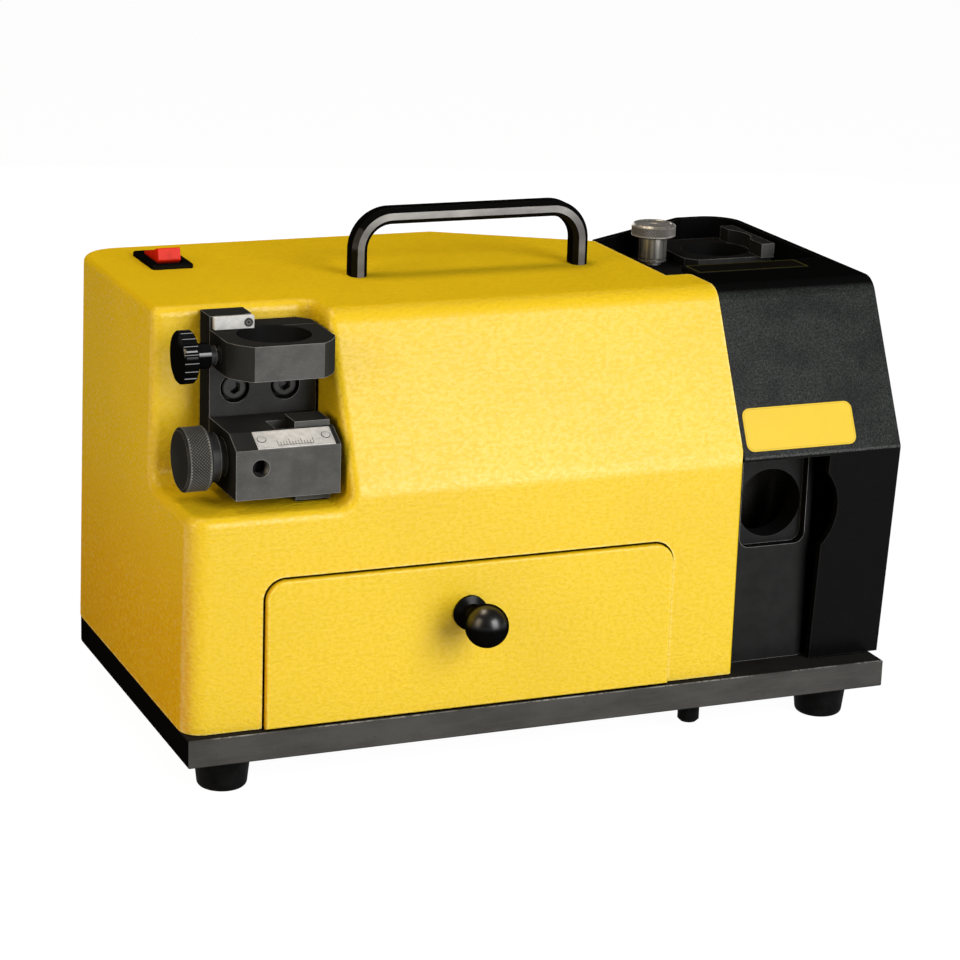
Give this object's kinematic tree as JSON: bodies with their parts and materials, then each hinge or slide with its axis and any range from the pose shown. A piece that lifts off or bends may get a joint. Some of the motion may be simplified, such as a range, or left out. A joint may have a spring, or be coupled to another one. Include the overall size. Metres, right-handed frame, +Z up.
{
  "type": "endmill grinder",
  "caption": "Bench grinder for sharpening end mills: cast housing with a corner setting fixture, wheel cover with front and top chuck ports, tool drawer and carrying handle.",
  "frame": {"origin": "on the floor under the middle of the base plate", "axes": "+X to the machine's right, +Y to its back, +Z up"},
  "size_m": [0.3238, 0.2068, 0.2202],
  "materials": {
    "yellow_paint": "semi-gloss paint with a fine orange-peel texture",
    "black_texture_paint": "fine textured satin black paint",
    "gloss_black": "gloss black enamel",
    "ground_steel": "dark ground steel with bright edges",
    "black_oxide": "black-oxide steel, rubbed bright on front faces",
    "bright_steel": "turned steel",
    "nickel": "satin nickel plating",
    "rubber": "matte moulded rubber",
    "black_plastic": "polished moulded plastic",
    "red_plastic": "moulded translucent red plastic",
    "sheet_steel": "zinc-plated sheet",
    "brass": "turned brass",
    "motor_paint": "grey machine enamel",
    "cast_aluminium": "as-cast aluminium",
    "laminations": "stacked electrical steel",
    "abrasive": "bonded abrasive grit"
  },
  "bodies": {
    "frame": {"base_plate": "ground_steel", "front_left_foot": "rubber", "front_right_foot": "rubber", "rear_left_foot": "rubber", "rear_right_foot": "rubber", "foot_screws": "bright_steel", "base_peg": "black_oxide", "housing": "yellow_paint", "end_cover": "black_texture_paint", "port_bracket": "black_oxide", "carriage_shelf": "sheet_steel", "guide_pins": "bright_steel", "handle": "gloss_black", "handle_screws": "bright_steel", "switch_bezel": "black_plastic", "left_runner": "sheet_steel", "right_runner": "sheet_steel", "fixture_plate": "black_oxide", "setting_ring": "black_oxide", "stop_block": "black_oxide", "fixture_screws": "black_oxide", "motor_can": "motor_paint", "motor_end_bell": "cast_aluminium", "motor_flange": "cast_aluminium", "stator": "laminations", "left_bearing": "bright_steel", "right_bearing": "bright_steel", "power_inlet": "black_plastic"},
    "drawer": {"drawer_front": "yellow_paint", "drawer_tray": "sheet_steel", "drawer_knob": "black_plastic"},
    "rocker": {"switch_rocker": "red_plastic"},
    "clamp_dial": {"clamp_knob": "black_plastic", "clamp_screw": "bright_steel"},
    "clamp_shoe": {"clamp_pad": "brass"},
    "stop_dial": {"stop_knob": "black_oxide", "stop_screw": "bright_steel"},
    "stop_bar": {"stop_slide": "black_oxide"},
    "edge_dial": {"edge_knob": "nickel", "edge_screw": "bright_steel"},
    "carriage": {"port_carriage": "gloss_black", "top_port_block": "black_oxide", "port_fence": "black_oxide"},
    "spindle": {"rotor": "laminations", "motor_shaft": "bright_steel", "wheel_hub": "bright_steel", "grinding_wheel": "cast_aluminium", "abrasive_rim": "abrasive", "wheel_flange": "bright_steel", "wheel_nut": "bright_steel"}
  },
  "joints": [
    {"name": "drawer_slide", "type": "slide", "parent": "frame", "child": "drawer", "axis": [0, -1, 0], "range_m": [0, 0.044]},
    {"name": "rocker_tilt", "type": "hinge", "parent": "frame", "child": "rocker", "pos_m": [-0.128, 0.054, 0.191], "axis": [1, 0, 0], "range_deg": [0, 29]},
    {"name": "clamp_feed", "type": "slide", "parent": "frame", "child": "clamp_shoe", "axis": [1, 0, 0], "range_m": [0, 0.001]},
    {"name": "clamp_turn", "type": "hinge", "parent": "frame", "child": "clamp_dial", "pos_m": [-0.1377, -0.0564, 0.1768], "axis": [1, 0, 0], "range_deg": [0, 361]},
    {"name": "stop_feed", "type": "slide", "parent": "frame", "child": "stop_bar", "axis": [-1, 0, 0], "range_m": [0, 0.008]},
    {"name": "stop_turn", "type": "hinge", "parent": "frame", "child": "stop_dial", "pos_m": [-0.1377, -0.06175, 0.1359], "axis": [1, 0, 0], "range_deg": [0, 2305]},
    {"name": "carriage_lift", "type": "slide", "parent": "frame", "child": "carriage", "axis": [0, 0, 1], "range_m": [-0.001, 0.001]},
    {"name": "edge_turn", "type": "hinge", "parent": "frame", "child": "edge_dial", "pos_m": [0.10452, 0.048, 0.1805], "axis": [0, 0, 1], "range_deg": [-361, 361]},
    {"name": "spindle_spin", "type": "hinge", "parent": "frame", "child": "spindle", "pos_m": [0.1102, 0.013, 0.0967], "axis": [1, 0, 0], "continuous": true}
  ],
  "couplings": [
    {"joint": "clamp_turn", "follows": "clamp_feed", "rad_per_m": 6283.2},
    {"joint": "stop_turn", "follows": "stop_feed", "rad_per_m": 5026.5},
    {"joint": "edge_turn", "follows": "carriage_lift", "rad_per_m": 6283.2}
  ]
}
